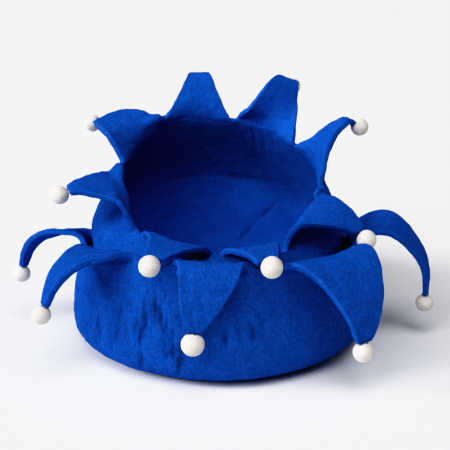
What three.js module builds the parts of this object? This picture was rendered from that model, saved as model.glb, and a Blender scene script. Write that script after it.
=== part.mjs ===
// Felt pet basket: a low outer bowl with a taller inner bowl standing in it. The rim of each is cut
// into eight points that bend outwards, and each point ends in a sewn-on white felt ball.
// Millimetres, +Z up, front towards -Y, origin on the ground under the middle of the outer bowl.
import * as THREE from 'three';
import { mergeVertices } from 'three/addons/utils/BufferGeometryUtils.js';

const FELT = 7; // thickness of the felt
const SEAM = 0.3; // clearance between pieces that meet
const UPRIGHT = 70; // slope in degrees above which a point's root keeps the round of the rim
const FOLD_FADE = 6; // power of the height share with which a straight fold shows in the wall
const ROOT_BLEND = 0.36; // share of a point's length over which it leaves the curve of the wall
const TWIST_BY = 0.5; // share of a point's length by which its twist is complete
const ROOT_ROUND = 26; // how far to either side of the rim the fold of a point is rounded
const ROUND_FULL_BY = 0.3; // share of a point's width from its side by which that rounding is full
const SKEW_CURVE = 1.4; // power of the length share with which a point's sideways offset sets in
const BALL_UNROUND = 0.02; // share by which a ball falls short of its full radius

const COLUMNS = 6; // facets across a point
const POINT_ROWS = 10; // facets along a point
const ROW_CROWDING = 1.3; // how closely those facets gather at the root
const SPINE_STEPS = 8; // integration steps per facet row along a point
const FLOOR_RINGS = 3;

const BLUE_FELT = new THREE.MeshStandardMaterial({ color: 0x0f3fb4, roughness: 0.95, metalness: 0 });
const WHITE_FELT = new THREE.MeshStandardMaterial({ color: 0xeeebe6, roughness: 0.9, metalness: 0 });

// Rows of numbers as objects with the named columns.
function table(columns, rows) {
  return rows.map((row) => Object.fromEntries(columns.map((column, i) => [column, row[i]])));
}

// Level sections of a wall: share of the way from floor to rim, radius of the felt's middle, and how
// far the centre of the section lies to the right of the origin.
const SECTION = ['share', 'radius', 'right'];

// Cut points, round from the front: azimuth of the axis, height of the cut that follows, length,
// slope in degrees at the root, after the first bend and at the tip, share of the length at which the
// first bend ends, degrees by which it heads left of straight out, sideways offset of the tip, twist in
// degrees, radii of the cuts before and after it, how full its sides are (1 for straight ones), width of
// the tip, diameter of the ball.
const POINT = [
  'azimuth', 'cutZ', 'length', 'root', 'bend', 'tip', 'bendAt', 'lean', 'skew', 'twist',
  'cutBefore', 'cutAfter', 'fullness', 'tipWidth', 'ball',
];

// Soft hollows in a wall: place, depth, and half-widths round and up the wall.
const DENT = ['azimuth', 'z', 'depth', 'across', 'up'];

const OUTER = {
  name: 'outer_bowl',
  floorZ: FELT / 2,
  foldFlat: 0.4,
  wall: table(SECTION, [
    [0.0, 137, -2],
    [0.012, 162, -2],
    [0.05, 183, -1],
    [0.12, 196, 0],
    [0.24, 200, 1],
    [0.4, 199, 2],
    [0.56, 197, 2],
    [0.72, 193, 2],
    [0.86, 189, 2],
    [1.0, 187, 2],
  ]),
  points: table(POINT, [
    [-90, 148, 105, 80, -75, -86, 0.4, 0, -32, 0, 32, 44, 1.3, 20, 29],
    [-48.5, 127, 157, 54, -52, -90, 0.55, 0, -13, 11, 6, 10, 1.4, 20, 26],
    [-7, 113, 190, 76, -50, -94, 0.55, 0, 0, 12, 26, 24, 0.75, 14, 25],
    [38, 108, 135, 70, -70, -88, 0.4, 0, 0, 0, 24, 24, 0.95, 20, 25],
    [83, 112, 138, 75, -45, -85, 0.4, 0, 4, 0, 24, 24, 1.1, 20, 25],
    [131, 102, 143, 75, -42, -82, 0.4, 0, -5, 0, 24, 24, 1.05, 20, 25],
    [178, 130, 129, 66, 0, -75, 0.27, 0, 0, 24, 24, 12, 0.52, 13, 25],
    [218, 150, 122, 76, -6, -67, 0.24, 0, 0, 13, 10, 30, 0.85, 17, 25],
  ]),
  dents: table(DENT, [
    [-134, 96, 8, 30, 30],
    [-108, 62, 3, 40, 45],
    [-62, 104, 5, 42, 28],
    [60, 70, 4, 60, 40],
  ]),
};

const INNER = {
  name: 'inner_bowl',
  floorZ: FELT * 1.5 + SEAM,
  foldFlat: 1,
  wall: table(SECTION, [
    [0.0, 86, -10],
    [0.02, 104, -10],
    [0.07, 123, -9],
    [0.16, 142, -8],
    [0.3, 157, -7],
    [0.45, 165, -6],
    [0.58, 168, -5],
    [0.68, 167, -3],
    [0.78, 161, -2],
    [0.88, 151, 0],
    [0.95, 144, 1],
    [1.0, 138, 1],
  ]),
  points: table(POINT, [
    [-110, 154, 73, 44, 7, -17, 0.36, 0, -10, -5, 7, 10, 0.8, 24, 27],
    [-72, 149, 75, 61, 13, -10, 0.36, 0, -5, 4, 7, 7, 0.95, 26, 27],
    [-37, 206, 93, 86, -16, -46, 0.5, 7, 22, 14, 7, 5, 1.15, 18, 26],
    [15, 237, 91, 72, 31, -60, 0.83, 0, 4, 0, 14, 7, 0.62, 13, 25],
    [60, 263, 105, 92, 78, -38, 0.62, 32, -40, 19, 7, 7, 1.1, 16, 25],
    [104, 272, 92, 76, 50, -70, 0.6, -2, -13, 0, 7, 7, 0.78, 14, 25],
    [149, 228, 85, 50, 6, -26, 0.6, 0, -4, -8, 7, 7, 2.0, 28, 25],
    [194.8, 168, 88, 24, 2, -26, 0.75, 0, 2, -10, 7, 7, 1.0, 18, 25],
  ]),
  dents: table(DENT, [
    [-168, 120, 3, 45, 40],
    [192, 192, 9, 55, 32],
    [198, 158, -5, 55, 24],
    [70, 115, 4, 50, 45],
    [128, 190, 4, 40, 30],
  ]),
};

const { degToRad: rad, lerp, clamp, euclideanModulo: wrap } = THREE.MathUtils;
const smooth = (x) => THREE.MathUtils.smoothstep(x, 0, 1);
const along = (degrees) => new THREE.Vector3(Math.cos(rad(degrees)), Math.sin(rad(degrees)), 0);

// Azimuths of the cuts on either side of point k.
function cutsBeside(bowl, k) {
  const count = bowl.points.length;
  const here = bowl.points[k].azimuth;
  const before = bowl.points[(k + count - 1) % count].azimuth;
  const after = bowl.points[(k + 1) % count].azimuth;
  return { from: here - wrap(here - before, 360) / 2, to: here + wrap(after - here, 360) / 2 };
}

// Rim at an azimuth: its height, running smoothly from cut to cut, and the factor on its radius, which
// drops towards a straight chord where a point folds outwards.
function rimAt(bowl, azimuth) {
  const count = bowl.points.length;
  const cuts = bowl.points.map((point, k) => cutsBeside(bowl, k));
  const k = cuts.findIndex(({ from, to }) => wrap(azimuth - from, 360) <= to - from);
  const half = (cuts[k].to - cuts[k].from) / 2;
  const into = wrap(azimuth - cuts[k].from, 360);
  const before = bowl.points[(k + count - 1) % count].cutZ;
  const folded = clamp((UPRIGHT - bowl.points[k].bend) / UPRIGHT, 0, 1);
  const chord = Math.cos(rad(half)) / Math.cos(rad(into - half));
  return {
    z: lerp(before, bowl.points[k].cutZ, smooth(into / (2 * half))),
    pull: lerp(1, chord, bowl.foldFlat * folded),
  };
}

// Point of the wall's middle surface at an azimuth in a section.
function wallPoint(bowl, azimuth, section) {
  const rim = rimAt(bowl, azimuth);
  const outward = along(azimuth);
  const p = outward.clone().multiplyScalar(section.radius * lerp(1, rim.pull, section.share ** FOLD_FADE));
  p.z = lerp(bowl.floorZ, rim.z, section.share);
  for (const dent of bowl.dents) {
    const offset = wrap(azimuth - dent.azimuth + 180, 360) - 180;
    const across = (rad(offset) * section.radius) / dent.across;
    const up = (p.z - dent.z) / dent.up;
    p.addScaledVector(outward, -dent.depth * Math.exp(-across * across - up * up));
  }
  p.x += section.right;
  return p;
}

// Slope in degrees of a point's axis at a share of its length.
function slopeAt(point, share) {
  if (share < point.bendAt) return lerp(point.root, point.bend, smooth(share / point.bendAt));
  return lerp(point.bend, point.tip, smooth((share - point.bendAt) / (1 - point.bendAt)));
}

// Axis of a point from its root on the rim: place and sideways direction, row by row.
function pointAxis(bowl, point) {
  const heading = along(point.azimuth + point.lean);
  const level = along(point.azimuth + point.lean + 90);
  const spine = wallPoint(bowl, point.azimuth, bowl.wall[bowl.wall.length - 1]);
  const frames = [];
  let done = 0;
  for (let i = 0; i <= POINT_ROWS; i += 1) {
    const share = (i / POINT_ROWS) ** ROW_CROWDING;
    const step = ((share - done) / SPINE_STEPS) * point.length;
    for (let j = 0; j < SPINE_STEPS; j += 1) {
      const slope = rad(slopeAt(point, lerp(done, share, (j + 0.5) / SPINE_STEPS)));
      spine.addScaledVector(heading, Math.cos(slope) * step);
      spine.z += Math.sin(slope) * step;
    }
    done = share;
    const slope = rad(slopeAt(point, share));
    const run = heading.clone().multiplyScalar(Math.cos(slope)).setZ(Math.sin(slope));
    const side = level.clone().applyAxisAngle(run, rad(point.twist) * smooth(share / TWIST_BY));
    const offset = point.skew * share ** SKEW_CURVE;
    frames.push({ share, side, place: spine.clone().addScaledVector(side, offset) });
  }
  return frames;
}

// Width from a point's axis to one side at a share of its length: a rounded cut, then a taper to the tip.
function sideWidth(point, round, rootWidth, share) {
  const up = share * point.length;
  if (up < round) return rootWidth / 2 - Math.sqrt(up * (2 * round - up));
  const rest = (up - round) / (point.length - round);
  return lerp(rootWidth / 2 - round, point.tipWidth / 2, rest ** point.fullness);
}

// Rounds the fold in a line of points up the wall and along a point of the rim. The fold is at the
// entry numbered root, and the rounding reaches that far to either side.
function roundFold(line, root, reach) {
  const at = line.map(() => 0);
  for (let i = root + 1; i < line.length; i += 1) at[i] = at[i - 1] + line[i].distanceTo(line[i - 1]);
  for (let i = root - 1; i >= 0; i -= 1) at[i] = at[i + 1] - line[i].distanceTo(line[i + 1]);
  const placeAt = (distance) => {
    const i = at.findIndex((a) => a >= distance);
    return line[i - 1].clone().lerp(line[i], (distance - at[i - 1]) / (at[i] - at[i - 1]));
  };
  const legs = [placeAt(-reach), line[root].clone(), placeAt(reach)];
  const arc = new THREE.QuadraticBezierCurve3(...legs);
  line.forEach((p, i) => {
    if (Math.abs(at[i]) >= reach) return;
    const share = (at[i] + reach) / reach;
    const leg = share < 1 ? legs[0].clone().lerp(legs[1], share) : legs[1].clone().lerp(legs[2], share - 1);
    p.add(arc.getPoint(share / 2).sub(leg));
  });
}

// Closed sheet of even thickness about a middle surface given by its vertices and facets.
function thickSheet(points, facets) {
  const normals = points.map(() => new THREE.Vector3());
  const edges = new Map();
  for (const [a, b, c] of facets) {
    const normal = points[b].clone().sub(points[a]).cross(points[c].clone().sub(points[a]));
    for (const v of [a, b, c]) normals[v].add(normal);
    for (const [from, to] of [[a, b], [b, c], [c, a]]) {
      if (!edges.delete(`${to} ${from}`)) edges.set(`${from} ${to}`, [from, to]);
    }
  }
  const coords = [];
  for (const side of [FELT / 2, -FELT / 2]) {
    points.forEach((p, i) => {
      coords.push(...p.clone().addScaledVector(normals[i].clone().normalize(), side));
    });
  }
  const far = points.length;
  const index = [];
  for (const [a, b, c] of facets) index.push(a, b, c, c + far, b + far, a + far);
  for (const [from, to] of edges.values()) index.push(to, from, from + far, to, from + far, to + far);
  const geometry = new THREE.BufferGeometry();
  geometry.setAttribute('position', new THREE.Float32BufferAttribute(coords, 3));
  geometry.setIndex(index);
  geometry.computeVertexNormals();
  return geometry;
}

// One bowl as a single piece of felt, with the end of each of its points.
function makeBowl(bowl) {
  const points = [];
  const facets = [];
  const add = (p) => points.push(p) - 1;
  const quad = (a, b, c, d) => facets.push([a, b, c], [a, c, d]);

  const azimuths = bowl.points.flatMap((point, k) => {
    const { from, to } = cutsBeside(bowl, k);
    return Array.from({ length: COLUMNS }, (_, c) => lerp(from, to, c / COLUMNS));
  });
  const floor = bowl.wall[0];
  const sections = [];
  for (let i = 1; i < FLOOR_RINGS; i += 1) {
    sections.push({ ...floor, radius: (floor.radius * i) / FLOOR_RINGS });
  }
  sections.push(...bowl.wall);
  const rings = sections.map((section) => azimuths.map((azimuth) => add(wallPoint(bowl, azimuth, section))));
  const centre = add(new THREE.Vector3(floor.right, 0, bowl.floorZ));
  for (let c = 0; c < azimuths.length; c += 1) {
    const d = (c + 1) % azimuths.length;
    facets.push([centre, rings[0][d], rings[0][c]]);
    for (let i = 1; i < rings.length; i += 1) {
      quad(rings[i - 1][c], rings[i - 1][d], rings[i][d], rings[i][c]);
    }
  }

  const rim = rings[rings.length - 1];
  const tips = bowl.points.map((point, k) => {
    const roots = Array.from({ length: COLUMNS + 1 }, (_, c) => rim[(k * COLUMNS + c) % rim.length]);
    const rootWidth = points[roots[0]].distanceTo(points[roots[COLUMNS]]);
    const frames = pointAxis(bowl, point);
    const place = (frame, c) => {
      const before = sideWidth(point, point.cutBefore, rootWidth, frame.share);
      const after = sideWidth(point, point.cutAfter, rootWidth, frame.share);
      return frame.place.clone().addScaledVector(frame.side, lerp(-before, after, c / COLUMNS));
    };
    const rows = [roots];
    for (const frame of frames.slice(1)) {
      const pull = 1 - smooth(frame.share / ROOT_BLEND);
      const row = roots.map((root, c) => {
        const miss = points[root].clone().sub(place(frames[0], c));
        return add(place(frame, c).addScaledVector(miss, pull));
      });
      const below = rows[rows.length - 1];
      for (let c = 0; c < COLUMNS; c += 1) quad(below[c], below[c + 1], row[c + 1], row[c]);
      rows.push(row);
    }
    for (let c = 1; c < COLUMNS; c += 1) {
      const wall = rings.slice(0, -1).map((ring) => ring[(k * COLUMNS + c) % ring.length]);
      const line = [...wall, ...rows.map((row) => row[c])].map((id) => points[id]);
      const inset = Math.min(c, COLUMNS - c) / COLUMNS / ROUND_FULL_BY;
      roundFold(line, wall.length, ROOT_ROUND * smooth(inset));
    }
    const [before, end] = frames.slice(-2);
    const run = end.place.clone().sub(before.place).projectOnPlane(end.side).normalize();
    return { place: end.place, run, ball: point.ball };
  });
  return { geometry: thickSheet(points, facets), tips };
}

// Felt ball, a little out of round, seated against the end of a point.
function makeBall(tip, number) {
  const radius = tip.ball / 2;
  const sphere = new THREE.IcosahedronGeometry(radius, 2);
  sphere.deleteAttribute('normal');
  sphere.deleteAttribute('uv');
  const geometry = mergeVertices(sphere);
  const position = geometry.getAttribute('position');
  const middle = tip.place.clone().addScaledVector(tip.run, radius + SEAM);
  for (let i = 0; i < position.count; i += 1) {
    const v = new THREE.Vector3().fromBufferAttribute(position, i);
    const wave = Math.sin((2.7 * v.x) / radius + number) * Math.cos((2.2 * v.y) / radius + 2 * number);
    v.multiplyScalar(1 - BALL_UNROUND * (0.5 + 0.5 * wave)).add(middle);
    position.setXYZ(i, v.x, v.y, v.z);
  }
  geometry.computeVertexNormals();
  return geometry;
}

const basket = new THREE.Group();
basket.name = 'felt_pet_basket';
for (const [bowl, ring] of [[OUTER, 'outer'], [INNER, 'inner']]) {
  const { geometry, tips } = makeBowl(bowl);
  const shell = new THREE.Mesh(geometry, BLUE_FELT);
  shell.name = bowl.name;
  basket.add(shell);
  tips.forEach((tip, k) => {
    const ball = new THREE.Mesh(makeBall(tip, k + 1), WHITE_FELT);
    ball.name = `ball_${ring}_${k + 1}`;
    basket.add(ball);
  });
}

export default basket;
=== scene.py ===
import math
from collections import namedtuple

import bmesh
import bpy
import numpy as np
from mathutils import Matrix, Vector, noise


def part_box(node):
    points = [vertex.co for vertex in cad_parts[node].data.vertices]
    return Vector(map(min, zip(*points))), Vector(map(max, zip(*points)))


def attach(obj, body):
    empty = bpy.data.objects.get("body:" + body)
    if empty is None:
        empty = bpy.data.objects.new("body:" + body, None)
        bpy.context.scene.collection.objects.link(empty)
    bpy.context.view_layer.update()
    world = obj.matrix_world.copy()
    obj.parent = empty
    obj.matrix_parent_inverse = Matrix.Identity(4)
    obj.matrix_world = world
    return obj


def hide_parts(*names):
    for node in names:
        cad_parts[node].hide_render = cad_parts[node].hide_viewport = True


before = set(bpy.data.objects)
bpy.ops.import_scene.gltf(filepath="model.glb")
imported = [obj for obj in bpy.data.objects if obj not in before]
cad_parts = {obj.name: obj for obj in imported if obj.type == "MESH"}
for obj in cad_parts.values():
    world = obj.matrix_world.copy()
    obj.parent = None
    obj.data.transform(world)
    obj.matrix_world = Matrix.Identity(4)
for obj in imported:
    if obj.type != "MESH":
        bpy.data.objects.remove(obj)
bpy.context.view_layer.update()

bl_info = {
    "name": "Felt Pet Basket",
    "version": (1, 0, 0),
    "blender": (4, 5, 0),
    "location": "3D View > Sidebar > Basket",
    "description": "Two felted wool bowls, one in the other, with cut points that carry felt balls",
    "category": "Object",
}

BODY = "root"
MM = 0.001

# The bowls' tables are in millimetres and degrees, as in the solids.
Section = namedtuple("Section", "share radius right")
Point = namedtuple(
    "Point",
    "azimuth cut_z length root bend tip bend_at lean skew twist cut_before cut_after fullness tip_width")
Dent = namedtuple("Dent", "azimuth z depth across up")
Crease = namedtuple("Crease", "azimuth_from z_from azimuth_to z_to depth width")
Bowl = namedtuple("Bowl", "node floor_z fold_flat wall points dents creases")

FELT = 7.0
UPRIGHT = 70.0  # slope in degrees from which a point counts as not folded
FOLD_FADE = 6  # power by which the straight line of a fold fades down the wall
ROOT_BLEND = 0.36  # share of a point's length over which it leaves the curve of the wall
TWIST_BY = 0.5  # share of a point's length by which it has its full twist
ROOT_ROUND = 26.0  # how far the rounding of a fold reaches up and down
ROUND_FULL_BY = 0.3  # share of a point's width, from either cut, at which that rounding is full
SKEW_CURVE = 1.4  # power by which a point swings sideways along its length

# Factor on how far a cut edge is turned to the left, where the light comes from, which is held at 1. It
# sets the painted highlight on such edges and their extra stray fibres.
LEFT_GAIN = 1.3

# Noise that makes things uneven: how rough it is, and how much finer each octave is.
ROUGHNESS, FINER = 0.9, 2.1

# Soft lumps of the felt: size in millimetres, octaves, seed, share of the height.
LUMPS = ((26, 3, 0.0, 0.9), (8, 2, 3.1, 0.45))

# Upright wrinkles of the walls, in millimetres: how far apart they lie, how wide the patches are in which
# they come and how far below the rim they are full. Then their stretch and their width in the noise.
WRINKLES_APART, WRINKLE_PATCH, WRINKLES_BELOW = 15, 70, 25
WRINKLE_STRETCH, WRINKLE_WIDTH = 0.16, 0.13

# Azimuth at which the outer wall is most wrinkled, how far that reaches, and the share left elsewhere.
FRONT_LEFT, FRONT_LEFT_REACH, LESS_WRINKLED = -122, 22, 0.3

# Waver of a crease: how far it swings in millimetres, over what height, and its turn from crease to crease.
WAVER = ((1.3, 9, 1), (0.9, 4.3, 2))

# Share of the matted look that is left on the inside of the inner bowl, which looks smoother in the photo.
INSIDE_NAP = 0.55

# Painted light and shade on the inner bowl's felt, as factors on its even colour. In the photo its high
# points and its floor are lighter, and the band under its rim is darker, than the light of the stage alone
# makes them, so its high points at the back and its floor are painted lighter, and that band darker. The
# numbers after each factor are millimetres below the rim.
RIM_PAINTED_LIGHT, RIM_FULL, RIM_FADE = 1.15, -10, 16
DEEP_PAINTED_SHADE, DEEP_FULL, DEEP_TO, DEEP_FADE = 0.72, 12, 75, 30
FLOOR_PAINTED_LIGHT, FLOOR_FROM, FLOOR_FADE = 1.14, 85, 30

# Stray fibres: how many times more lie at a cut edge that faces the light, the height in millimetres below
# which the bowls hide each other, and the size of the balls' fibres against those of the bowls.
EDGE_FUZZ, HIDDEN_BELOW, BALL_FIBRE = 1.5, 100, 0.32

# Features of the balls' unevenness across a radius, coarse and fine, with their shares of it.
BALL_LUMPS, BALL_LUMP_SHARE, BALL_GRAIN, BALL_GRAIN_SHARE, BALL_SHRINK = 1.3, 0.7, 6, 0.14, 0.1

# Stitches of a ball in millimetres: place across the end of the point, and 1 on its face or -1 behind.
# Then the length of a stitch, and how far it lies off the felt's middle and past the end of the point.
STITCHES = ((1.4, 1), (2.6, 1), (-1.6, -1))
STITCH_LENGTH, STITCH_OFF, STITCH_PAST = 6, 3.3, 0.8


def table(kind, rows):
    return [kind(*row) for row in rows]


OUTER = Bowl(
    node="outer_bowl", floor_z=FELT / 2, fold_flat=0.4,
    wall=table(Section, [
        (0.0, 137, -2),
        (0.012, 162, -2),
        (0.05, 183, -1),
        (0.12, 196, 0),
        (0.24, 200, 1),
        (0.4, 199, 2),
        (0.56, 197, 2),
        (0.72, 193, 2),
        (0.86, 189, 2),
        (1.0, 187, 2),
    ]),
    points=table(Point, [
        (-90, 148, 105, 80, -75, -86, 0.4, 0, -32, 0, 32, 44, 1.3, 20),
        (-48.5, 127, 157, 54, -52, -90, 0.55, 0, -13, 11, 6, 10, 1.4, 20),
        (-7, 113, 190, 76, -50, -94, 0.55, 0, 0, 12, 26, 24, 0.75, 14),
        (38, 108, 135, 70, -70, -88, 0.4, 0, 0, 0, 24, 24, 0.95, 20),
        (83, 112, 138, 75, -45, -85, 0.4, 0, 4, 0, 24, 24, 1.1, 20),
        (131, 102, 143, 75, -42, -82, 0.4, 0, -5, 0, 24, 24, 1.05, 20),
        (178, 130, 129, 66, 0, -75, 0.27, 0, 0, 24, 24, 12, 0.52, 13),
        (218, 150, 122, 76, -6, -67, 0.24, 0, 0, 13, 10, 30, 0.85, 17),
    ]),
    dents=table(Dent, [
        (-134, 96, 8, 30, 30),
        (-108, 62, 3, 40, 45),
        (-62, 104, 5, 42, 28),
        (60, 70, 4, 60, 40),
    ]),
    creases=table(Crease, [
        (-117, 115, -116, 60, 2.0, 4),
        (-118.5, 84, -118.5, 16, 2.2, 4.5),
        (-106.5, 82, -106, 36, 2.4, 4.5),
        (-113.5, 114, -113.5, 78, 1.2, 4),
        (-109.5, 66, -108, 16, 1.5, 4.5),
        (-126, 84, -124, 22, 1.3, 6),
        (-141, 80, -138, 26, 1.3, 7),
        (-134, 72, -132, 22, 1.3, 4),
        (-130, 94, -129, 38, 1.5, 4),
        (-122, 104, -121, 46, 1.5, 4),
        (-110.5, 106, -111, 68, 1.4, 4),
        (-103.5, 62, -103, 18, 1.6, 4),
        (-80, 116, -74, 88, 1.3, 4),
        (-88, 86, -87, 52, 2.0, 4),
        (-84, 92, -82.5, 64, 1.6, 4),
        (-79.5, 100, -78, 62, 1.9, 4),
        (-73.5, 96, -76.2, 68, 2.1, 3.5),
    ]),
)

INNER = Bowl(
    node="inner_bowl", floor_z=FELT * 1.5 + 0.3, fold_flat=1,
    wall=table(Section, [
        (0.0, 86, -10),
        (0.02, 104, -10),
        (0.07, 123, -9),
        (0.16, 142, -8),
        (0.3, 157, -7),
        (0.45, 165, -6),
        (0.58, 168, -5),
        (0.68, 167, -3),
        (0.78, 161, -2),
        (0.88, 151, 0),
        (0.95, 144, 1),
        (1.0, 138, 1),
    ]),
    points=table(Point, [
        (-110, 154, 73, 44, 7, -17, 0.36, 0, -10, -5, 7, 10, 0.8, 24),
        (-72, 149, 75, 61, 13, -10, 0.36, 0, -5, 4, 7, 7, 0.95, 26),
        (-37, 206, 93, 86, -16, -46, 0.5, 7, 22, 14, 7, 5, 1.15, 18),
        (15, 237, 91, 72, 31, -60, 0.83, 0, 4, 0, 14, 7, 0.62, 13),
        (60, 263, 105, 92, 78, -38, 0.62, 32, -40, 19, 7, 7, 1.1, 16),
        (104, 272, 92, 76, 50, -70, 0.6, -2, -13, 0, 7, 7, 0.78, 14),
        (149, 228, 85, 50, 6, -26, 0.6, 0, -4, -8, 7, 7, 2.0, 28),
        (194.8, 168, 88, 24, 2, -26, 0.75, 0, 2, -10, 7, 7, 1.0, 18),
    ]),
    dents=table(Dent, [
        (-168, 120, 3, 45, 40),
        (192, 192, 9, 55, 32),
        (198, 158, -5, 55, 24),
        (70, 115, 4, 50, 45),
        (128, 190, 4, 40, 30),
    ]),
    creases=table(Crease, [
        (83, 60, 52.5, 155, 1.7, 4),
        (128, 166, 96, 172, 1.4, 5),
        (98, 174, 60, 168, 1.6, 5),
        (76, 252, 75, 205, 1.2, 3.5),
        (70, 257, 69, 210, 1.4, 3.5),
        (64, 252, 63, 203, 1.2, 3.5),
        (58, 247, 57, 205, 1.0, 3.5),
    ]),
)

# The stage's lights: name of the setting, then azimuth, elevation and width in degrees.
LIGHTS = (("window", 190, 25, 18), ("front", 225, 40, 36), ("overhead", 270, 70, 36), ("fill", 315, 55, 36))

# Half the floor's side in metres, and the width of the camera's sensor in millimetres.
FLOOR_REACH, SENSOR = 20, 36

# Fineness of the bowls' surfaces, and of the picture's tone curve.
COLUMNS = 20
POINT_ROWS = 22
ROW_CROWDING = 1.5
SPINE_STEPS = 6
SECTION_STEPS = 4
FLOOR_RINGS = 6
CURVE_STEPS = 24


def linear(hex_colour):
    """sRGB hex colour as linear red, green, blue."""
    parts = [int(hex_colour[i:i + 2], 16) / 255 for i in (1, 3, 5)]
    return [c / 12.92 if c <= 0.04045 else ((c + 0.055) / 1.055) ** 2.4 for c in parts]


def number_setting(name, description, default, low=0, high=1e6, **kind):
    return bpy.props.FloatProperty(
        name=name, description=description, default=default, min=low, max=high, **kind)


def length_setting(name, description, default, low, high):
    return number_setting(name, description, default, low, high, unit="LENGTH")


def share_setting(name, description, default, high):
    return number_setting(name, description, default, 0, high, subtype="FACTOR")


def colour_setting(name, description, hex_colour):
    return bpy.props.FloatVectorProperty(
        name=name, description=description, size=3, subtype="COLOR", default=linear(hex_colour))


class FeltSettings(bpy.types.PropertyGroup):
    """The blue and white felt."""

    thickness: length_setting("Thickness", "Thickness of the felt of both bowls", FELT * MM, 0.003, 0.012)
    edge_round: length_setting("Edge round", "How far a cut edge bulges", 0.0004, 0, 0.004)
    edge_crease: share_setting("Edge crease", "How crisp the corners of a cut edge stay", 0.7, 1)
    lump_height: length_setting("Lumps", "Height of the soft unevenness of the felt", 0.0011, 0, 0.004)
    streak_depth: length_setting("Streaks", "Depth of the upright wrinkles in the walls", 0.0012, 0, 0.004)
    blue: colour_setting("Blue", "Colour of the bowls", "#1751a5")
    white: colour_setting("White", "Colour of the balls", "#e0ddd8")


class FuzzSettings(bpy.types.PropertyGroup):
    """Stray fibres that stand off the felt."""

    length: length_setting("Fibre length", "Length of a stray fibre on the bowls", 0.009, 0.001, 0.02)
    width: length_setting(
        "Fibre width", "Width of a stray fibre, drawn coarser than wool so that it shows",
        0.00034, 0.00005, 0.001)
    density: number_setting("Fibres per square metre", "Stray fibres on the bowls", 5000)
    ball_density: number_setting("Ball fibres per square metre", "Stray fibres on the balls", 90000)
    seed: bpy.props.IntProperty(name="Seed", description="Seed of the scatter", default=7)


class BallSettings(bpy.types.PropertyGroup):
    """The felt balls and the thread that holds them."""

    unevenness: share_setting(
        "Unevenness", "Share of the radius by which a ball is out of round", 0.03, 0.1)
    thread_width: length_setting("Thread width", "Width of the sewing thread", 0.0009, 0.0003, 0.002)


class StageSettings(bpy.types.PropertyGroup):
    """Camera, floor and light."""

    elevation: number_setting(
        "Elevation", "Camera's angle above the horizon", math.radians(19), high=1.57, subtype="ANGLE")
    distance: length_setting("Distance", "Camera's distance from its target", 1.3, 0.3, 10)
    target: bpy.props.FloatVectorProperty(
        name="Target", description="Point in the middle of the picture", size=3, subtype="XYZ",
        unit="LENGTH", default=(0.008, 0, 0.147))
    lens: number_setting("Lens", "Focal length in millimetres", 76, 10, 300)
    floor: colour_setting("Floor", "Colour of the floor", "#f0f0f2")
    window: number_setting("Window", "Strength of the low light on the left", 2.54)
    front: number_setting("Front light", "Strength of the soft light at the upper front left", 2.05)
    overhead: number_setting("Overhead light", "Strength of the soft light above", 1.72)
    fill: number_setting("Fill light", "Strength of the weak light at the upper front right", 0.35)
    sky: number_setting("Sky", "Strength of the even light all round", 0.01)
    toe: number_setting("Toe", "How much the picture's dark end is deepened", 0.1, 0.001, 0.3)
    knee: number_setting(
        "Knee", "Brightness above which the picture is softly held back", 0.68, 0.3, 0.95)
    black: number_setting("Black", "Brightness of the picture's darkest parts", 0.0009, 0, 0.02)
    range: number_setting("Range", "Brightest light that the picture tells apart", 1.6, 1, 4)


class BasketSettings(bpy.types.PropertyGroup):
    """All settings of the basket."""

    felt: bpy.props.PointerProperty(type=FeltSettings)
    fuzz: bpy.props.PointerProperty(type=FuzzSettings)
    balls: bpy.props.PointerProperty(type=BallSettings)
    stage: bpy.props.PointerProperty(type=StageSettings)


def smooth(x):
    x = np.clip(x, 0, 1)
    return x * x * (3 - 2 * x)


def step(x, start, reach):
    """0 up to the start and 1 from that reach past it on, smooth between."""
    return smooth((x - start) / reach)


def lerp(a, b, t):
    return a + (b - a) * t


def along(degrees):
    """Level unit vectors at azimuths in degrees."""
    a = np.radians(degrees)
    return np.stack([np.cos(a), np.sin(a), np.zeros_like(a)], -1)


def unit(vectors):
    return vectors / np.maximum(np.linalg.norm(vectors, axis=-1, keepdims=True), 1e-9)


def spline_rows(rows, steps):
    """Smooth curve through the rows of a table, with that many steps from row to row."""
    rows = np.array(rows, float)
    padded = np.concatenate([rows[:1], rows, rows[-1:]])
    out = []
    for a, b, c, d in zip(padded, padded[1:], padded[2:], padded[3:]):
        for t in np.arange(steps) / steps:
            out.append(0.5 * (2 * b + (c - a) * t + (2 * a - 5 * b + 4 * c - d) * t ** 2
                              + (3 * b - a - 3 * c + d) * t ** 3))
    return np.array(out + [rows[-1]])


def cuts_beside(bowl, k):
    """Azimuths of the cuts on either side of point k."""
    count = len(bowl.points)
    here = bowl.points[k].azimuth
    before = (here - bowl.points[k - 1].azimuth) % 360
    after = (bowl.points[(k + 1) % count].azimuth - here) % 360
    return here - before / 2, here + after / 2


def rim_at(bowl, azimuths):
    """Height of the rim and the factor on its radius, at each azimuth."""
    z, pull = np.zeros(len(azimuths)), np.ones(len(azimuths))
    done = np.zeros(len(azimuths), bool)
    for k, point in enumerate(bowl.points):
        start, end = cuts_beside(bowl, k)
        half = (end - start) / 2
        into = (azimuths - start) % 360
        here = (into <= end - start) & ~done
        folded = np.clip((UPRIGHT - point.bend) / UPRIGHT, 0, 1)
        chord = math.cos(math.radians(half)) / np.cos(np.radians(into - half))
        z[here] = lerp(bowl.points[k - 1].cut_z, point.cut_z, smooth(into / (2 * half)))[here]
        pull[here] = lerp(1, chord, bowl.fold_flat * folded)[here]
        done |= here
    return z, pull


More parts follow.
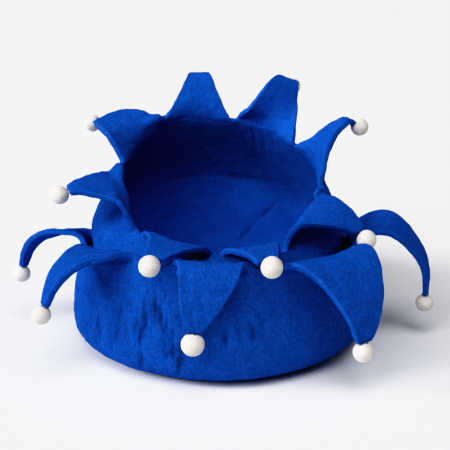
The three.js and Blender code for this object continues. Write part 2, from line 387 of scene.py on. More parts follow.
def wall_points(bowl, azimuths, section):
    """Middle of the felt at each azimuth in one level section of the wall."""
    share, radius, right = section
    z, pull = rim_at(bowl, azimuths)
    height = lerp(bowl.floor_z, z, share)
    reach = radius * lerp(1, pull, max(share, 0) ** FOLD_FADE)
    for dent in bowl.dents:
        offset = (azimuths - dent.azimuth + 180) % 360 - 180
        across = np.radians(offset) * radius / dent.across
        up = (height - dent.z) / dent.up
        reach = reach - dent.depth * np.exp(-across ** 2 - up ** 2)
    points = along(azimuths) * reach[:, None]
    points[:, 0] += right
    points[:, 2] = height
    return points


def slope_at(point, share):
    """Slope of a point's axis, in radians, at a share of its length."""
    if share < point.bend_at:
        slope = lerp(point.root, point.bend, smooth(share / point.bend_at))
    else:
        slope = lerp(point.bend, point.tip, smooth((share - point.bend_at) / (1 - point.bend_at)))
    return math.radians(slope)


def turned(vector, axis, angle):
    """Vector turned about a unit axis at right angles to it."""
    return vector * math.cos(angle) + np.cross(axis, vector) * math.sin(angle)


def point_axis(bowl, point):
    """Rows along a point: share of its length, place of the axis, sideways direction."""
    azimuth = np.array([point.azimuth], float)
    heading, level = along(azimuth + point.lean)[0], along(azimuth + point.lean + 90)[0]
    spine = wall_points(bowl, azimuth, bowl.wall[-1])[0]
    rows, done = [], 0.0
    for i in range(POINT_ROWS + 1):
        share = (i / POINT_ROWS) ** ROW_CROWDING
        stride = (share - done) / SPINE_STEPS * point.length
        for j in range(SPINE_STEPS):
            slope = slope_at(point, lerp(done, share, (j + 0.5) / SPINE_STEPS))
            spine = spine + (heading * math.cos(slope) + np.array([0, 0, math.sin(slope)])) * stride
        done = share
        slope = slope_at(point, share)
        run = heading * math.cos(slope) + np.array([0, 0, math.sin(slope)])
        side = turned(level, run, math.radians(point.twist) * smooth(share / TWIST_BY))
        rows.append((share, spine + side * point.skew * share ** SKEW_CURVE, side))
    return rows


def side_width(point, cut, root_width, share):
    """Width from a point's axis to one side: a rounded cut, then a taper to the tip."""
    up = share * point.length
    if up < cut:
        return root_width / 2 - math.sqrt(up * (2 * cut - up))
    rest = (up - cut) / (point.length - cut)
    return lerp(root_width / 2 - cut, point.tip_width / 2, rest ** point.fullness)


def round_fold(line, root, reach):
    """Line of places up the wall and along a point, with its fold at the entry numbered root rounded."""
    at = np.concatenate([[0], np.cumsum(np.linalg.norm(np.diff(line, axis=0), axis=1))])
    at = at - at[root]
    low, high = (np.array([np.interp(d, at, column) for column in line.T]) for d in (-reach, reach))
    fold = line[root]
    t = np.clip((at + reach) / (2 * reach), 0, 1)[:, None]
    arc = low * (1 - t) ** 2 + fold * 2 * t * (1 - t) + high * t ** 2
    leg = np.where(t < 0.5, lerp(low, fold, 2 * t), lerp(fold, high, 2 * t - 1))
    return line + arc - leg


def middle_surface(bowl):
    """Middle of one bowl's felt as vertices and faces, and the end of each of its points."""
    azimuths = np.concatenate([
        np.linspace(*cuts_beside(bowl, k), COLUMNS, endpoint=False) for k in range(len(bowl.points))])
    count = len(azimuths)
    floor = bowl.wall[0]
    sections = [floor._replace(radius=floor.radius * i / FLOOR_RINGS) for i in range(1, FLOOR_RINGS)]
    sections += list(spline_rows(bowl.wall, SECTION_STEPS))
    vertices = [np.array([[floor.right, 0, bowl.floor_z]])]
    vertices += [wall_points(bowl, azimuths, section) for section in sections]
    faces = []
    for c in range(count):
        d = (c + 1) % count
        faces.append((0, 1 + d, 1 + c))
        for i in range(len(sections) - 1):
            low, high = 1 + i * count, 1 + (i + 1) * count
            faces.append((low + c, low + d, high + d, high + c))
    rim = vertices[-1]
    total = 1 + len(sections) * count
    tips, folds = [], []
    across = np.linspace(0, 1, COLUMNS + 1)[:, None]
    for k, point in enumerate(bowl.points):
        root = (k * COLUMNS + np.arange(COLUMNS + 1)) % count
        root_width = np.linalg.norm(rim[root[0]] - rim[root[-1]])
        rows = point_axis(bowl, point)
        strips = []
        for share, place, side in rows:
            before = side_width(point, point.cut_before, root_width, share)
            after = side_width(point, point.cut_after, root_width, share)
            strips.append(place + lerp(-before, after, across) * side)
        miss = rim[root] - strips[0]
        grid = [1 + i * count + root for i in range(len(sections))]
        for (share, _, _), strip in zip(rows[1:], strips[1:]):
            vertices.append(strip + miss * (1 - smooth(share / ROOT_BLEND)))
            below, row = grid[-1], total + np.arange(COLUMNS + 1)
            total += COLUMNS + 1
            for c in range(COLUMNS):
                faces.append((below[c], below[c + 1], row[c + 1], row[c]))
            grid.append(row)
        folds.append(np.array(grid))
        end, side = rows[-1][1], rows[-1][2]
        run = end - rows[-2][1]
        tips.append((end, unit(run - side * run.dot(side)), side))
    points = np.concatenate(vertices)
    for grid in folds:
        for c in range(1, COLUMNS):
            reach = ROOT_ROUND * smooth(min(c, COLUMNS - c) / COLUMNS / ROUND_FULL_BY)
            points[grid[:, c]] = round_fold(points[grid[:, c]], len(sections) - 1, reach)
    return points, faces, tips


def thick_sheet(points, faces, thickness, bulge):
    """Closed sheet about a middle surface: vertices, faces, 1 at the corners of its cut edge, and how far
    each of these corners is turned to the left, where the light comes from."""
    normals = np.zeros_like(points)
    edges = {}
    for face in faces:
        p = points[list(face)]
        normal = np.cross(p[1] - p[0], p[2] - p[0])
        if len(face) == 4:
            normal = normal + np.cross(p[2] - p[0], p[3] - p[0])
        for a, b in zip(face, face[1:] + face[:1]):
            normals[a] += normal
            if edges.pop((b, a), None) is None:
                edges[a, b] = normal
    normals = unit(normals)
    away = np.zeros_like(points)
    for (a, b), normal in edges.items():
        outward = unit(np.cross(points[b] - points[a], normal))
        away[a] += outward
        away[b] += outward
    away = unit(away)
    brink = sorted({v for edge in edges for v in edge})
    middle = {v: 2 * len(points) + i for i, v in enumerate(brink)}
    far = len(points)
    vertices = np.concatenate([
        points + normals * thickness / 2,
        points - normals * thickness / 2,
        points[brink] + away[brink] * bulge,
    ])
    solid = [tuple(face) for face in faces]
    solid += [tuple(v + far for v in reversed(face)) for face in faces]
    for a, b in edges:
        solid.append((b, a, middle[a], middle[b]))
        solid.append((middle[b], middle[a], a + far, b + far))
    corner = np.zeros(len(vertices))
    corner[brink] = 1
    corner[np.array(brink) + far] = 1
    leftward = np.zeros(len(vertices))
    leftward[brink] = smooth(-away[brink, 0] * LEFT_GAIN)
    leftward[np.array(brink) + far] = leftward[brink]
    return vertices, solid, corner, leftward


def new_mesh(name, vertices, faces):
    mesh = bpy.data.meshes.new(name)
    mesh.from_pydata([tuple(v) for v in vertices], [], [tuple(int(i) for i in f) for f in faces])
    mesh.update()
    return mesh


def new_object(name, mesh):
    obj = bpy.data.objects.new(name, mesh)
    bpy.context.scene.collection.objects.link(obj)
    return obj


def evaluated_mesh(obj, name):
    """Plain mesh of an object with its modifiers, and the object removed."""
    depsgraph = bpy.context.evaluated_depsgraph_get()
    mesh = bpy.data.meshes.new_from_object(obj.evaluated_get(depsgraph))
    mesh.name = name
    old = obj.data
    bpy.data.objects.remove(obj)
    bpy.data.meshes.remove(old)
    return mesh


def vertex_arrays(mesh):
    places = np.zeros(len(mesh.vertices) * 3, np.float32)
    normals = np.zeros(len(mesh.vertices) * 3, np.float32)
    mesh.vertices.foreach_get("co", places)
    mesh.vertex_normals.foreach_get("vector", normals)
    return places.reshape(-1, 3).astype(float), normals.reshape(-1, 3).astype(float)


def get_values(mesh, name):
    """Number stored for each vertex under a name."""
    values = np.zeros(len(mesh.vertices), np.float32)
    mesh.attributes[name].data.foreach_get("value", values)
    return values


def set_values(mesh, name, values):
    """Number for each vertex, under a name that materials and node trees read."""
    attribute = mesh.attributes.get(name) or mesh.attributes.new(name, "FLOAT", "POINT")
    attribute.data.foreach_set("value", np.asarray(values, np.float32))


def keep_crisp(mesh, corner, sharpness):
    """Edges between corner vertices stay crisp when the mesh is subdivided."""
    ends = np.zeros(len(mesh.edges) * 2, np.int32)
    mesh.edges.foreach_get("vertices", ends)
    both = corner[ends.reshape(-1, 2)].min(axis=1)
    attribute = mesh.attributes.new("crease_edge", "FLOAT", "EDGE")
    attribute.data.foreach_set("value", (both * sharpness).astype(np.float32))


def fractal(places, size, octaves, seed):
    """Uneven values round 0 with features of about that size, one for each place."""
    shift = Vector((seed, seed * 1.7, seed * 0.6))
    return np.array([
        noise.fractal(Vector(p / size) + shift, ROUGHNESS, FINER, octaves) for p in places])


def crease_depth(bowl, places):
    """Depth of the creases of one bowl, in millimetres, at each place."""
    depth = np.zeros(len(places))
    azimuths = np.degrees(np.arctan2(places[:, 1], places[:, 0]))
    radius, height = np.linalg.norm(places[:, :2], axis=1), places[:, 2]
    for k, crease in enumerate(bowl.creases):
        middle = (crease.azimuth_from + crease.azimuth_to) / 2
        offset = (azimuths - middle + 180) % 360 - 180
        waver = sum(swing * np.sin(height / over + turn * k) for swing, over, turn in WAVER)
        strength = crease.depth * (0.75 + 0.25 * np.sin(height / 6 + 3 * k))
        flat = np.stack([np.radians(offset) * radius + waver, height], -1)
        ends = [np.stack([np.radians(a - middle) * radius, np.full(len(radius), z)], -1)
                for a, z in ((crease.azimuth_from, crease.z_from), (crease.azimuth_to, crease.z_to))]
        run = ends[1] - ends[0]
        t = np.clip(((flat - ends[0]) * run).sum(1) / np.maximum((run ** 2).sum(1), 1e-6), 0, 1)
        off = np.linalg.norm(flat - ends[0] - run * t[:, None], axis=1)
        fade = np.sqrt(np.clip(4 * t * (1 - t), 0, 1))
        depth = np.maximum(depth, strength * fade * np.exp(-(off / crease.width) ** 2))
    return depth


def felt_relief(bowl, mesh, felt):
    """Moves a bowl's vertices along their normals: lumps, upright wrinkles and creases. Stores what its
    material reads: grooves, which it paints darker as painted shade, nap, and painted light and shade.
    """
    places, normals = vertex_arrays(mesh)
    mm = places / MM
    azimuths = np.degrees(np.arctan2(mm[:, 1], mm[:, 0]))
    below_rim = rim_at(bowl, azimuths)[0] - mm[:, 2]
    outward = np.sum(normals[:, :2] * unit(mm[:, :2]), axis=1)
    upright = step(np.linalg.norm(normals[:, :2], axis=1), 0.45, 0.4)
    off_ground = step(mm[:, 2], 4, 10)
    lumps = sum(fractal(mm, size, octaves, seed) * share for size, octaves, seed, share in LUMPS)
    wrinkle = fractal(mm * np.array([1, 1, WRINKLE_STRETCH]), WRINKLES_APART, 2, 5.3)
    patchy = smooth(fractal(mm, WRINKLE_PATCH, 1, 8.2) * 0.9 + 0.55)
    loose = np.full(len(mm), LESS_WRINKLED)
    if bowl is OUTER:
        off = (azimuths - FRONT_LEFT + 180) % 360 - 180
        loose = lerp(LESS_WRINKLED, 1, np.exp(-(off / FRONT_LEFT_REACH) ** 2))
    grooves = np.exp(-(wrinkle / WRINKLE_WIDTH) ** 2) * upright * patchy * loose
    grooves = grooves * step(below_rim, 0, WRINKLES_BELOW)
    creases = crease_depth(bowl, mm) * (outward > 0 if bowl is OUTER else outward < 0)
    move = lumps * felt.lump_height - grooves * felt.streak_depth - creases * MM
    moved = places + normals * (move * off_ground)[:, None]
    moved[:, 2] = np.maximum(moved[:, 2], places[:, 2].min())
    mesh.vertices.foreach_set("co", moved.astype(np.float32).ravel())
    mesh.update()
    # Grooves and creases, which the blue felt paints darker: painted shade where they sink in.
    set_values(mesh, "groove", np.clip(grooves * 0.9 + creases / 2.2, 0, 1) * off_ground)
    nap, shade = np.ones(len(mm)), np.ones(len(mm))
    if bowl is INNER:
        inside = step(-outward, 0, 0.4)
        nap = lerp(1, INSIDE_NAP, inside)
        # Painted light and shade on the inner bowl: high points at the back and the floor lighter, the band
        # under the rim darker.
        back = step(unit(mm[:, :2])[:, 1], 0.2, 0.5)
        painted_light_high = back * (1 - step(below_rim, RIM_FULL, RIM_FADE))
        deep = inside * step(below_rim, 0, DEEP_FULL) * (1 - step(below_rim, DEEP_TO, DEEP_FADE))
        painted_light_low = off_ground * step(below_rim, FLOOR_FROM, FLOOR_FADE) * step(normals[:, 2], -0.3, 0.5)
        shade = lerp(1, RIM_PAINTED_LIGHT, painted_light_high) * lerp(1, DEEP_PAINTED_SHADE, deep) * lerp(1, FLOOR_PAINTED_LIGHT, painted_light_low)
    set_values(mesh, "nap", nap)
    set_values(mesh, "shade", shade)


def finish_piece(obj, material, slot, *nodes):
    """Material, and the piece's place in the frame."""
    obj.data.materials.clear()
    obj.data.materials.append(material)
    obj.data.polygons.foreach_set("use_smooth", [True] * len(obj.data.polygons))
    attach(obj, BODY)
    if nodes:
        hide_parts(*nodes)
    return obj


def add_node(tree, kind, values=(), links=(), **settings):
    """Node with its settings, its sockets' values and the sockets that feed it."""
    made = tree.nodes.new(kind)
    for name, value in settings.items():
        setattr(made, name, value)
    for socket, value in dict(values).items():
        made.inputs[socket].default_value = value
    for socket, source in dict(links).items():
        tree.links.new(source, made.inputs[socket])
    return made


def new_material(name):
    material = bpy.data.materials.new(name)
    material.use_nodes = True
    material.node_tree.nodes.clear()
    return material, material.node_tree


def per_metre(size_mm):
    """Texture scale whose features are about that many millimetres wide."""
    return 1 / (size_mm * MM)


def noise_texture(tree, place, size_mm, **values):
    """Noise with features of about that many millimetres."""
    return add_node(
        tree, "ShaderNodeTexNoise", {"Scale": per_metre(size_mm), **values}, {"Vector": place})


def stored(tree, name):
    """Output with the numbers stored in a mesh under a name."""
    return add_node(tree, "ShaderNodeAttribute", attribute_name=name).outputs["Fac"]


def spread(tree, value, low, high, to_low=0, to_high=1):
    """Output with a value taken from one range to another, and held there."""
    return add_node(
        tree, "ShaderNodeMapRange",
        {"From Min": low, "From Max": high, "To Min": to_low, "To Max": to_high},
        {"Value": value}).outputs[0]


def product(tree, a, b):
    """Output with one output times another, or times a number."""
    fixed = isinstance(b, (int, float))
    return add_node(
        tree, "ShaderNodeMath", {1: b} if fixed else (), {0: a} if fixed else {0: a, 1: b},
        operation="MULTIPLY").outputs[0]


def mixed_colour(tree, a, b, factor):
    """Output with a colour from a to b."""
    return add_node(
        tree, "ShaderNodeMix", {"A": a, "B": b}, {"Factor": factor}, data_type="RGBA").outputs["Result"]


def end_material(tree, values, links=()):
    """Surface that ends a material's nodes."""
    shader = add_node(tree, "ShaderNodeBsdfPrincipled", values, links)
    add_node(tree, "ShaderNodeOutputMaterial", (), {"Surface": shader.outputs[0]})


def blue_wool_felt(colour):
    """Wet-felted wool, dyed through: matt, with matted fibres that lie mostly up the walls, single paler
    curled fibres, lighter and darker tufts, grooves and creases painted darker as painted shade, the stored
    painted light and shade of the inner bowl, and a painted highlight along the corners of the cuts that
    face the light on the left. Wool fibres of 0.03 mm would not show, so they are drawn 1 to 3 mm wide."""
    material, tree = new_material("blue wool felt")
    place = add_node(tree, "ShaderNodeTexCoord").outputs["Object"]
    wander = noise_texture(tree, place, 24, Detail=2)
    centred = add_node(
        tree, "ShaderNodeVectorMath", {1: (0.5, 0.5, 0.5)}, {0: wander.outputs["Color"]},
        operation="SUBTRACT")
    bent = add_node(
        tree, "ShaderNodeVectorMath", {1: (0.016, 0.016, 0.016)}, {0: centred.outputs[0], 2: place},
        operation="MULTIPLY_ADD").outputs[0]
    upright = add_node(tree, "ShaderNodeMapping", {"Scale": (1, 1, 0.4)}, {"Vector": bent}).outputs[0]
    matting = noise_texture(tree, upright, 2.8, Detail=4, Roughness=0.7).outputs["Fac"]
    grain = noise_texture(tree, place, 3, Detail=4, Roughness=0.75, Distortion=1.5).outputs["Fac"]
    tufts = noise_texture(tree, place, 18, Detail=3, Roughness=0.6).outputs["Fac"]
    tone = spread(tree, matting, 0.3, 0.7, 0.76, 1.24)
    tone = product(tree, tone, spread(tree, grain, 0.3, 0.7, 0.66, 1.34))
    tone = product(tree, tone, spread(tree, tufts, 0.3, 0.7, 0.9, 1.1))
    nap = stored(tree, "nap")
    calmed = add_node(
        tree, "ShaderNodeMix", {"A": 1}, {"Factor": nap, "B": tone}, data_type="FLOAT").outputs[0]
    # Grooves and creases are painted darker: painted shade.
    tone_and_groove_shade = product(tree, calmed, spread(tree, stored(tree, "groove"), 0.2, 0.85, 1, 0.42))
    # The stored shade is painted light and shade on the inner bowl.
    body = add_node(
        tree, "ShaderNodeVectorMath", {0: colour},
        {"Scale": product(tree, tone_and_groove_shade, stored(tree, "shade"))}, operation="SCALE")
    curls = noise_texture(tree, bent, 9, Detail=2, Distortion=2.5)
    on_curl = add_node(
        tree, "ShaderNodeMath", {1: 0.5, 2: 0.016}, {0: curls.outputs["Fac"]}, operation="COMPARE")
    curl = product(tree, on_curl.outputs[0], spread(tree, grain, 0.5, 0.7, 0, 0.45))
    # Painted highlight: corners of the cuts that face the light on the left are painted paler.
    edge = product(tree, stored(tree, "cut_edge"), 0.4)
    paler = add_node(tree, "ShaderNodeMath", (), {0: curl, 1: edge}, operation="MAXIMUM")
    pale = [min(c * 1.7 + 0.02, 1) for c in colour] + [1]
    mixed = add_node(
        tree, "ShaderNodeMix", {"B": pale}, {"Factor": paler.outputs[0], "A": body.outputs[0]},
        data_type="RGBA")
    matted = add_node(
        tree, "ShaderNodeMath", {1: 0.8}, {0: grain, 2: matting}, operation="MULTIPLY_ADD")
    bump = add_node(
        tree, "ShaderNodeBump", {"Distance": 0.0022},
        {"Height": matted.outputs[0], "Strength": product(tree, nap, 0.7)})
    end_material(
        tree,
        {"Roughness": 1.0, "Specular IOR Level": 0.02, "Sheen Weight": 0.08, "Sheen Roughness": 0.5,
         "Sheen Tint": (0.02, 0.2, 1, 1)},
        {"Base Color": mixed.outputs["Result"], "Normal": bump.outputs[0]})
    return material


def white_wool_felt(colour):
    """Rolled felt balls of undyed wool: matt, nearly even, with a fine matted surface."""
    material, tree = new_material("white wool felt")
    place = add_node(tree, "ShaderNodeTexCoord").outputs["Object"]
    mottle = noise_texture(tree, place, 7, Detail=3).outputs["Fac"]
    fibres = noise_texture(tree, place, 1.4, Detail=4, Roughness=0.7, Distortion=1.5).outputs["Fac"]
    shade = [c * f for c, f in zip(colour, (0.9, 0.87, 0.83))] + [1]
    mixed = mixed_colour(tree, shade, [*colour, 1], spread(tree, mottle, 0.35, 0.65))
    bump = add_node(tree, "ShaderNodeBump", {"Strength": 0.35, "Distance": 0.0008}, {"Height": fibres})
    end_material(
        tree,
        {"Roughness": 0.95, "Specular IOR Level": 0.15, "Sheen Weight": 0.15, "Sheen Roughness": 0.5},
        {"Base Color": mixed, "Normal": bump.outputs[0]})
    return material


def wool_fibre(name, colour):
    """Single stray wool fibres: a little paler than the felt, because light shines through them."""
    material, tree = new_material(name)
    place = add_node(tree, "ShaderNodeTexCoord").outputs["Object"]
    along_it = noise_texture(tree, place, 9, Detail=2).outputs["Fac"]
    pale = [min(c * 1.3, 1) for c in colour] + [1]
    end_material(
        tree, {"Roughness": 0.9, "Specular IOR Level": 0.03},
        {"Base Color": mixed_colour(tree, [*colour, 1], pale, along_it)})
    return material


def sewing_thread(colour):
    """Twisted cotton thread, dyed to go with the bowls: fine slanting bands from the twist, drawn coarser
    than they are."""
    material, tree = new_material("cotton sewing thread")
    place = add_node(tree, "ShaderNodeTexCoord").outputs["Object"]
    twist = add_node(
        tree, "ShaderNodeTexWave", {"Scale": per_metre(6), "Distortion": 1.0}, {"Vector": place},
        bands_direction="DIAGONAL").outputs["Fac"]
    dark = [c * 0.4 for c in colour] + [1]
    end_material(
        tree, {"Roughness": 0.8, "Specular IOR Level": 0.2},
        {"Base Color": mixed_colour(tree, dark, [*colour, 1], twist)})
    return material


def node_group(name, inputs):
    """Empty geometry node tree with named inputs, each with the kind of its socket."""
    tree = bpy.data.node_groups.new(name, "GeometryNodeTree")
    for title, kind in inputs:
        tree.interface.new_socket(title, in_out="INPUT", socket_type=kind)
    tree.interface.new_socket("Geometry", in_out="OUTPUT", socket_type="NodeSocketGeometry")
    return tree, add_node(tree, "NodeGroupInput").outputs


def run_tree(obj, tree, values, name):
    """Plain mesh that a node tree makes of an object, which is used up."""
    modifier = obj.modifiers.new(tree.name, "NODES")
    modifier.node_group = tree
    for item in tree.interface.items_tree:
        if item.in_out == "INPUT" and item.name in values:
            modifier[item.identifier] = values[item.name]
    return evaluated_mesh(obj, name)


def round_section(tree, width, sides):
    """Output with the cross-section of a fibre or thread of that width."""
    return add_node(
        tree, "GeometryNodeCurvePrimitiveCircle", {"Resolution": sides},
        {"Radius": product(tree, width, 0.5)}).outputs[0]


def end_tree(tree, instances, material):
    """Real mesh of a tree's instances, with its material, as the tree's result."""
    real = add_node(tree, "GeometryNodeRealizeInstances", (), {"Geometry": instances})
    dressed = add_node(
        tree, "GeometryNodeSetMaterial", (), {"Geometry": real.outputs[0], "Material": material})
    add_node(tree, "NodeGroupOutput", (), {"Geometry": dressed.outputs[0]})
    return tree


def fuzz_tree():
    """Stray fibres scattered on a felt surface: open curls that lie flat with one end lifted."""
    tree, given = node_group("stray fibres", [
        ("Felt", "NodeSocketGeometry"), ("Density", "NodeSocketFloat"),
        ("Fibre length", "NodeSocketFloat"), ("Fibre width", "NodeSocketFloat"),
        ("Seed", "NodeSocketInt"), ("Fibre", "NodeSocketMaterial")])
    share = add_node(
        tree, "GeometryNodeInputNamedAttribute", {"Name": "fuzz"}, data_type="FLOAT")
    scatter = add_node(
        tree, "GeometryNodeDistributePointsOnFaces", (),
        {"Mesh": given["Felt"], "Density": product(tree, given["Density"], share.outputs["Attribute"]),
         "Seed": given["Seed"]})
    inner, outer, lift = (product(tree, given["Fibre length"], part) for part in (0.1, 0.34, 0.12))
    line = add_node(
        tree, "GeometryNodeCurveSpiral", {"Resolution": 12, "Rotations": 0.5},
        {"Start Radius": inner, "End Radius": outer, "Height": lift})
    fibre = add_node(
        tree, "GeometryNodeCurveToMesh", (),
        {"Curve": line.outputs[0], "Profile Curve": round_section(tree, given["Fibre width"], 3)})
    size = add_node(
        tree, "FunctionNodeRandomValue", {"Min": 0.45, "Max": 1.35}, {"Seed": given["Seed"]},
        data_type="FLOAT")
    turn = add_node(
        tree, "FunctionNodeRandomValue", {0: (-0.35, -0.5, 0), 1: (0.35, 0.12, math.tau)},
        {"Seed": given["Seed"]}, data_type="FLOAT_VECTOR")
    placed = add_node(
        tree, "GeometryNodeInstanceOnPoints", (),
        {"Points": scatter.outputs["Points"], "Instance": fibre.outputs[0],
         "Rotation": scatter.outputs["Rotation"], "Scale": size.outputs[1]})
    spun = add_node(
        tree, "GeometryNodeRotateInstances", (),
        {"Instances": placed.outputs[0], "Rotation": turn.outputs[0]})
    return end_tree(tree, spun.outputs[0], given["Fibre"])


def stitch_tree():
    """One arched stitch at each place, along its stored direction and standing off its stored side."""
    tree, given = node_group("stitches", [
        ("Places", "NodeSocketGeometry"), ("Stitch length", "NodeSocketFloat"),
        ("Thread width", "NodeSocketFloat"), ("Thread", "NodeSocketMaterial")])
    run, off = (
        add_node(tree, "GeometryNodeInputNamedAttribute", {"Name": name}, data_type="FLOAT_VECTOR")
        for name in ("run", "off"))
    aimed = add_node(
        tree, "FunctionNodeAlignRotationToVector", (), {"Vector": run.outputs["Attribute"]}, axis="X")
    rolled = add_node(
        tree, "FunctionNodeAlignRotationToVector", (),
        {"Rotation": aimed.outputs[0], "Vector": off.outputs["Attribute"]}, axis="Z", pivot_axis="X")
    start, middle, end = (
        add_node(tree, "ShaderNodeVectorMath", {0: place}, {"Scale": given["Stitch length"]},
                 operation="SCALE").outputs[0]
        for place in ((-0.5, 0, -0.1), (0, 0, 0.4), (0.5, 0, -0.1)))
    line = add_node(
        tree, "GeometryNodeCurveQuadraticBezier", {"Resolution": 8},
        {"Start": start, "Middle": middle, "End": end})
    thread = add_node(
        tree, "GeometryNodeCurveToMesh", {"Fill Caps": True},
        {"Curve": line.outputs[0], "Profile Curve": round_section(tree, given["Thread width"], 6)})
    placed = add_node(
        tree, "GeometryNodeInstanceOnPoints", (),
        {"Points": given["Places"], "Instance": thread.outputs[0], "Rotation": rolled.outputs[0]})
    return end_tree(tree, placed.outputs[0], given["Thread"])


def once(kind, name, make):
    """Material or node tree with that name, made the first time it is asked for."""
    return getattr(bpy.data, kind).get(name) or make()


def felt_bowl(bowl, piece, basket):
    """One bowl of thick felt."""
    felt = basket.felt
    points, faces, _ = middle_surface(bowl)
    vertices, solid, corner, leftward = thick_sheet(
        points, faces, felt.thickness / MM, felt.edge_round / MM)
    rough = new_mesh(piece, vertices * MM, solid)
    # Cut edges that face the light: the blue felt paints them paler as a painted highlight.
    set_values(rough, "cut_edge", leftward)
    keep_crisp(rough, corner, felt.edge_crease)
    form = new_object(piece + "_form", rough)
    rounding = form.modifiers.new("Rounding", "SUBSURF")
    rounding.levels = 1
    rounding.render_levels = 1
    mesh = evaluated_mesh(form, piece)
    felt_relief(bowl, mesh, felt)
    obj = new_object(piece, mesh)
    blue = once("materials", "blue wool felt", lambda: blue_wool_felt(list(felt.blue)))
    return finish_piece(obj, blue, "blue_felt", bowl.node)


def fuzz_on(mesh, piece, shares, density, size, material, slot, fuzz):
    """Stray fibres on a mesh, as one piece."""
    source = new_object(piece + "_source", mesh.copy())
    set_values(source.data, "fuzz", shares)
    tree = once("node_groups", "stray fibres", fuzz_tree)
    fibres = run_tree(source, tree, {
        "Density": density, "Fibre length": fuzz.length * size, "Fibre width": fuzz.width * size,
        "Seed": fuzz.seed, "Fibre": material}, piece)
    return finish_piece(new_object(piece, fibres), material, slot)


def bowl_fuzz(bowl, obj, piece, basket):
    """Stray fibres on one bowl, more of them on its cut edges and none where it stands or is hidden."""
    places, normals = vertex_arrays(obj.data)
    mm = places / MM
    edge, nap = get_values(obj.data, "cut_edge"), get_values(obj.data, "nap")
    shares = step(mm[:, 2], 6, 10) * (1 + EDGE_FUZZ * edge) * nap ** 2
    outward = np.sum(normals[:, :2] * unit(mm[:, :2]), axis=1)
    to_other_bowl = -outward if bowl is OUTER else outward
    shares = np.where((to_other_bowl > 0.3) & (mm[:, 2] < HIDDEN_BELOW), 0, shares)
    fibre = once("materials", "blue wool fibre", lambda: wool_fibre(
        "blue wool fibre", [min(c * 1.5 + 0.03, 1) for c in basket.felt.blue]))
    return fuzz_on(
        obj.data, piece, shares, basket.fuzz.density, 1, fibre, "blue_felt", basket.fuzz)


class BASKET_OT_outer_bowl(bpy.types.Operator):
    """Make the low outer bowl with its eight curled points"""

    bl_idname = "basket.outer_bowl"
    bl_label = "Outer bowl"

    def execute(self, context):
        basket = context.scene.basket
        obj = felt_bowl(OUTER, "felt_outer_bowl", basket)
        fuzz = bowl_fuzz(OUTER, obj, "fuzz_outer_bowl", basket)
        return {"FINISHED"}


class BASKET_OT_inner_bowl(bpy.types.Operator):
    """Make the taller inner bowl with its eight bent points"""

    bl_idname = "basket.inner_bowl"
    bl_label = "Inner bowl"

    def execute(self, context):
        basket = context.scene.basket
        obj = felt_bowl(INNER, "felt_inner_bowl", basket)
        fuzz = bowl_fuzz(INNER, obj, "fuzz_inner_bowl", basket)
        return {"FINISHED"}


class BASKET_OT_balls(bpy.types.Operator):
    """Make the white felt balls at the ends of the points"""

    bl_idname = "basket.balls"
    bl_label = "Felt balls"

    def execute(self, context):
        basket = context.scene.basket
        white = once("materials", "white wool felt", lambda: white_wool_felt(list(basket.felt.white)))
        wool = bmesh.new()
        for ring, bowl in (("outer", OUTER), ("inner", INNER)):
            for number in range(1, len(bowl.points) + 1):
                node = f"ball_{ring}_{number}"
                low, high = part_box(node)
                middle, radius = (low + high) / 2, sum(high - low) / 6
                ball = bmesh.new()
                bmesh.ops.create_icosphere(ball, subdivisions=4, radius=1)
                shift = Vector((number, 3 if bowl is OUTER else 9, 0))
                for v in ball.verts:
                    lump = noise.fractal(v.co * BALL_LUMPS + shift, ROUGHNESS, FINER, 3)
                    fine = noise.fractal(v.co * BALL_GRAIN + shift, ROUGHNESS, FINER, 2)
                    uneven = lump * BALL_LUMP_SHARE + fine * BALL_GRAIN_SHARE - BALL_SHRINK
                    v.co = middle + v.co * radius * (1 + basket.balls.unevenness * uneven)
                mesh = bpy.data.meshes.new(f"felt_{node}")
                ball.to_mesh(mesh)
                ball.free()
                wool.from_mesh(mesh)
                piece = finish_piece(new_object(f"felt_{node}", mesh), white, "white_felt", node)
        together = bpy.data.meshes.new("balls_together")
        wool.to_mesh(together)
        wool.free()
        fibre = wool_fibre("white wool fibre", list(basket.felt.white))
        fuzz_on(together, "fuzz_balls", np.ones(len(together.vertices)), basket.fuzz.ball_density,
                BALL_FIBRE, fibre, "white_felt", basket.fuzz)
        bpy.data.meshes.remove(together)
        return {"FINISHED"}


class BASKET_OT_stitches(bpy.types.Operator):
    """Sew each ball to the end of its point"""

    bl_idname = "basket.stitches"
    bl_label = "Stitches"

    def execute(self, context):
        basket = context.scene.basket
        places, runs, offs = [], [], []
        for bowl in (OUTER, INNER):
            for end, run, side in middle_surface(bowl)[2]:
                face = np.cross(run, side)
                for across, over in STITCHES:
                    places.append(end + side * across + face * over * STITCH_OFF + run * STITCH_PAST)
                    runs.append(run)
                    offs.append(face * over + side * 0.1 * across)
        mesh = new_mesh("stitch_places", np.array(places) * MM, [])
        for name, values in (("run", runs), ("off", offs)):
            attribute = mesh.attributes.new(name, "FLOAT_VECTOR", "POINT")
            attribute.data.foreach_set("vector", np.array(values, np.float32).ravel())
        thread = sewing_thread(list(basket.felt.blue))
        sewn = run_tree(new_object("stitch_places", mesh), stitch_tree(), {
            "Stitch length": STITCH_LENGTH * MM, "Thread width": basket.balls.thread_width,
            "Thread": thread}, "ball_stitches")
        finish_piece(new_object("ball_stitches", sewn), thread, "blue_felt")
        return {"FINISHED"}


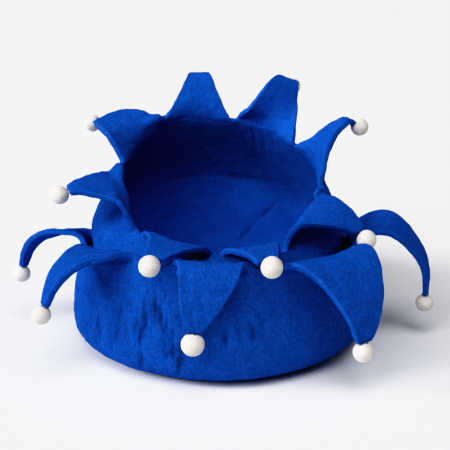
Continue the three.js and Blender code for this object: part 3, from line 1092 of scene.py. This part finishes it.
def develop(view, stage):
    """Tone curve of a photograph: a deep dark end, and a bright end that never quite burns out."""
    view.view_transform = "Standard"
    view.use_curve_mapping = True
    mapping = view.curve_mapping
    mapping.white_level = [stage.range] * 3
    curve = mapping.curves[3]
    steps = np.linspace(0, 1, CURVE_STEPS + 1) ** 2
    for i, x in enumerate(steps):
        light = x * stage.range
        shown = light * light / (light + stage.toe)
        if shown > stage.knee:
            shown = 1 - (1 - stage.knee) * math.exp((stage.knee - shown) / (1 - stage.knee))
        shown = lerp(stage.black, 1, shown)
        if i == 0:
            curve.points[0].location = (x, shown)
        elif i == CURVE_STEPS:
            curve.points[-1].location = (x, shown)
        else:
            curve.points.new(x, shown)
    for point in curve.points:
        point.handle_type = "VECTOR"
    mapping.update()


class BASKET_OT_stage(bpy.types.Operator):
    """Set up the floor, the light and the camera"""

    bl_idname = "basket.stage"
    bl_label = "Stage"

    def execute(self, context):
        stage = context.scene.basket.stage
        corners = [(x * FLOOR_REACH, y * FLOOR_REACH, 0) for x, y in ((-1, -1), (1, -1), (1, 1), (-1, 1))]
        floor = new_object("floor", new_mesh("floor", corners, [(0, 1, 2, 3)]))
        material, tree = new_material("pale studio floor")
        end_material(
            tree, {"Base Color": [*stage.floor, 1], "Roughness": 0.8, "Specular IOR Level": 0.2})
        floor.data.materials.append(material)

        world = bpy.data.worlds.new("studio")
        world.use_nodes = True
        world.node_tree.nodes["Background"].inputs["Color"].default_value = (0.98, 0.985, 1, 1)
        world.node_tree.nodes["Background"].inputs["Strength"].default_value = stage.sky
        context.scene.world = world

        for name, azimuth, elevation, width in LIGHTS:
            light = bpy.data.lights.new(name, "SUN")
            light.energy, light.angle = getattr(stage, name), math.radians(width)
            lamp = bpy.data.objects.new(name, light)
            level = along(np.array(float(azimuth))) * math.cos(math.radians(elevation))
            lamp.location = Vector((level[0], level[1], math.sin(math.radians(elevation)))) * 2
            lamp.rotation_euler = (-lamp.location).to_track_quat("-Z", "Y").to_euler()
            context.scene.collection.objects.link(lamp)

        target = Vector(stage.target)
        look = Vector((0, math.cos(stage.elevation), -math.sin(stage.elevation)))
        camera = bpy.data.objects.new("camera", bpy.data.cameras.new("camera"))
        camera.data.lens = stage.lens
        camera.data.sensor_width = SENSOR
        camera.location = target - look * stage.distance
        camera.rotation_euler = look.to_track_quat("-Z", "Y").to_euler()
        context.scene.collection.objects.link(camera)
        context.scene.camera = camera
        develop(context.scene.view_settings, stage)
        return {"FINISHED"}


OPERATORS = (
    BASKET_OT_outer_bowl, BASKET_OT_inner_bowl, BASKET_OT_balls, BASKET_OT_stitches, BASKET_OT_stage)


class BASKET_PT_sidebar(bpy.types.Panel):
    """Basket settings and pieces"""

    bl_idname = "BASKET_PT_sidebar"
    bl_label = "Felt pet basket"
    bl_space_type = "VIEW_3D"
    bl_region_type = "UI"
    bl_category = "Basket"

    def draw(self, context):
        basket = context.scene.basket
        for title in ("felt", "fuzz", "balls", "stage"):
            group = getattr(basket, title)
            box = self.layout.box()
            box.label(text=title.title())
            for name in group.__annotations__:
                box.prop(group, name)
        for operator in OPERATORS:
            self.layout.operator(operator.bl_idname)


CLASSES = (
    FeltSettings, FuzzSettings, BallSettings, StageSettings, BasketSettings, *OPERATORS, BASKET_PT_sidebar)


def register():
    for cls in CLASSES:
        bpy.utils.register_class(cls)
    bpy.types.Scene.basket = bpy.props.PointerProperty(type=BasketSettings)


def unregister():
    del bpy.types.Scene.basket
    for cls in reversed(CLASSES):
        bpy.utils.unregister_class(cls)


def main():
    register()
    bpy.ops.basket.stage()
    bpy.ops.basket.outer_bowl()
    bpy.ops.basket.inner_bowl()
    bpy.ops.basket.balls()
    bpy.ops.basket.stitches()


if __name__ == "__main__":
    main()
